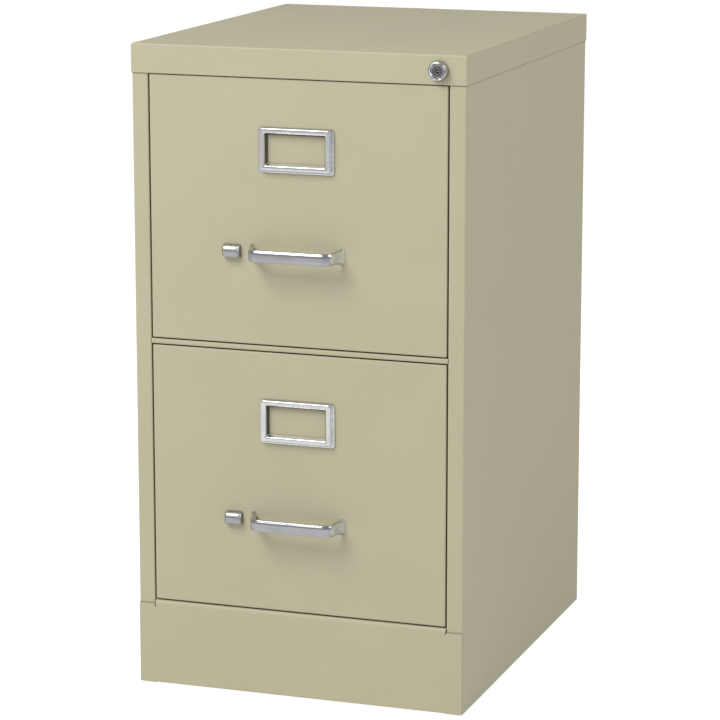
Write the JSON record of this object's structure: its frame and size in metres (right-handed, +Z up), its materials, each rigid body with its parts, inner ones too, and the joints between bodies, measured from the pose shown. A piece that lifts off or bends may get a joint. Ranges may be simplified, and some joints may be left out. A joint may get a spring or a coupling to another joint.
{
  "type": "filing cabinet",
  "caption": "Two-drawer vertical filing cabinet of painted steel sheet with chrome handles, label holders and thumb latches, telescopic slides and a cap lock.",
  "frame": {"origin": "on the floor, midway across and midway from the handles' fronts to the back of the cap", "axes": "+Z up, the drawers face and open towards -Y, +X to the right of someone facing them"},
  "size_m": [0.381, 0.503, 0.7207],
  "materials": {
    "putty_paint": "satin powder coat in putty",
    "zinc_steel": "bright zinc plate",
    "chrome_trim": "polished and lightly brushed",
    "lock_core_metal": "dark nickel",
    "bumper_rubber": "matt",
    "guide_nylon": "natural nylon",
    "bearing_steel": "ground and polished",
    "spring_steel": "drawn wire"
  },
  "bodies": {
    "case": {"back_panel": "putty_paint", "back_rivets": "zinc_steel", "base_front_channel": "putty_paint", "base_rear_channel": "putty_paint", "centre_rail": "putty_paint", "drawer_bumpers": "bumper_rubber", "front_uprights": "putty_paint", "glide_nuts": "zinc_steel", "kick_panel": "putty_paint", "latch_strikes": "zinc_steel", "left_side_panel": "putty_paint", "levelling_glides": "zinc_steel", "lock_bar_guides": "guide_nylon", "lock_housing": "chrome_trim", "lock_nut": "zinc_steel", "lower_case_slides": "zinc_steel", "rear_uprights": "putty_paint", "right_side_panel": "putty_paint", "slide_rivets": "zinc_steel", "top_cap": "putty_paint", "top_rail": "putty_paint", "upper_case_slides": "zinc_steel"},
    "lock_core": {"lock_plug": "lock_core_metal", "lock_cam": "zinc_steel"},
    "lock_rod": {"lock_bar": "zinc_steel"},
    "upper_drawer": {"upper_front_skin": "putty_paint", "upper_front_liner": "putty_paint", "upper_drawer_tub": "putty_paint", "upper_drawer_back": "putty_paint", "upper_lock_lug": "zinc_steel", "upper_label_holder": "chrome_trim", "upper_handle": "chrome_trim", "upper_handle_screws": "zinc_steel", "upper_latch_guides": "zinc_steel", "upper_latch_spring": "spring_steel", "upper_drawer_slides": "zinc_steel"},
    "upper_latch": {"upper_thumb_button": "chrome_trim", "upper_latch_bar": "zinc_steel"},
    "upper_mid_slide": {"upper_mid_slides": "zinc_steel"},
    "upper_outer_balls": {"upper_outer_bearings": "bearing_steel"},
    "upper_inner_balls": {"upper_inner_bearings": "bearing_steel"},
    "lower_drawer": {"lower_front_skin": "putty_paint", "lower_front_liner": "putty_paint", "lower_drawer_tub": "putty_paint", "lower_drawer_back": "putty_paint", "lower_lock_lug": "zinc_steel", "lower_label_holder": "chrome_trim", "lower_handle": "chrome_trim", "lower_handle_screws": "zinc_steel", "lower_latch_guides": "zinc_steel", "lower_latch_spring": "spring_steel", "lower_drawer_slides": "zinc_steel"},
    "lower_latch": {"lower_thumb_button": "chrome_trim", "lower_latch_bar": "zinc_steel"},
    "lower_mid_slide": {"lower_mid_slides": "zinc_steel"},
    "lower_outer_balls": {"lower_outer_bearings": "bearing_steel"},
    "lower_inner_balls": {"lower_inner_bearings": "bearing_steel"}
  },
  "joints": [
    {"name": "upper_drawer_slide", "type": "slide", "parent": "case", "child": "upper_drawer", "axis": [0, -1, 0], "range_m": [0, 0.4]},
    {"name": "upper_mid_slide_run", "type": "slide", "parent": "case", "child": "upper_mid_slide", "axis": [0, -1, 0], "range_m": [0, 0.2]},
    {"name": "upper_outer_balls_run", "type": "slide", "parent": "case", "child": "upper_outer_balls", "axis": [0, -1, 0], "range_m": [0, 0.1]},
    {"name": "upper_inner_balls_run", "type": "slide", "parent": "case", "child": "upper_inner_balls", "axis": [0, -1, 0], "range_m": [0, 0.3]},
    {"name": "upper_latch_slide", "type": "slide", "parent": "upper_drawer", "child": "upper_latch", "axis": [1, 0, 0], "range_m": [0, 0.006], "stiffness_N_per_m": 300, "springref_m": -0.006, "deforming": ["upper_latch_spring"]},
    {"name": "lower_drawer_slide", "type": "slide", "parent": "case", "child": "lower_drawer", "axis": [0, -1, 0], "range_m": [0, 0.4]},
    {"name": "lower_mid_slide_run", "type": "slide", "parent": "case", "child": "lower_mid_slide", "axis": [0, -1, 0], "range_m": [0, 0.2]},
    {"name": "lower_outer_balls_run", "type": "slide", "parent": "case", "child": "lower_outer_balls", "axis": [0, -1, 0], "range_m": [0, 0.1]},
    {"name": "lower_inner_balls_run", "type": "slide", "parent": "case", "child": "lower_inner_balls", "axis": [0, -1, 0], "range_m": [0, 0.3]},
    {"name": "lower_latch_slide", "type": "slide", "parent": "lower_drawer", "child": "lower_latch", "axis": [1, 0, 0], "range_m": [0, 0.006], "stiffness_N_per_m": 300, "springref_m": -0.006, "deforming": ["lower_latch_spring"]},
    {"name": "lock_turn", "type": "hinge", "parent": "case", "child": "lock_core", "pos_m": [0.1595, -0.2235, 0.704], "axis": [0, 1, 0], "range_deg": [0, 90]},
    {"name": "lock_rod_drop", "type": "slide", "parent": "case", "child": "lock_rod", "axis": [0, 0, -1], "range_m": [0, 0.01202]}
  ],
  "couplings": [
    {"joint": "upper_mid_slide_run", "follows": "upper_drawer_slide", "ratio": 0.5},
    {"joint": "upper_outer_balls_run", "follows": "upper_drawer_slide", "ratio": 0.25},
    {"joint": "upper_inner_balls_run", "follows": "upper_drawer_slide", "ratio": 0.75},
    {"joint": "lower_mid_slide_run", "follows": "lower_drawer_slide", "ratio": 0.5},
    {"joint": "lower_outer_balls_run", "follows": "lower_drawer_slide", "ratio": 0.25},
    {"joint": "lower_inner_balls_run", "follows": "lower_drawer_slide", "ratio": 0.75},
    {"joint": "lock_turn", "follows": "lock_rod_drop", "rad_per_m": 130.67}
  ]
}
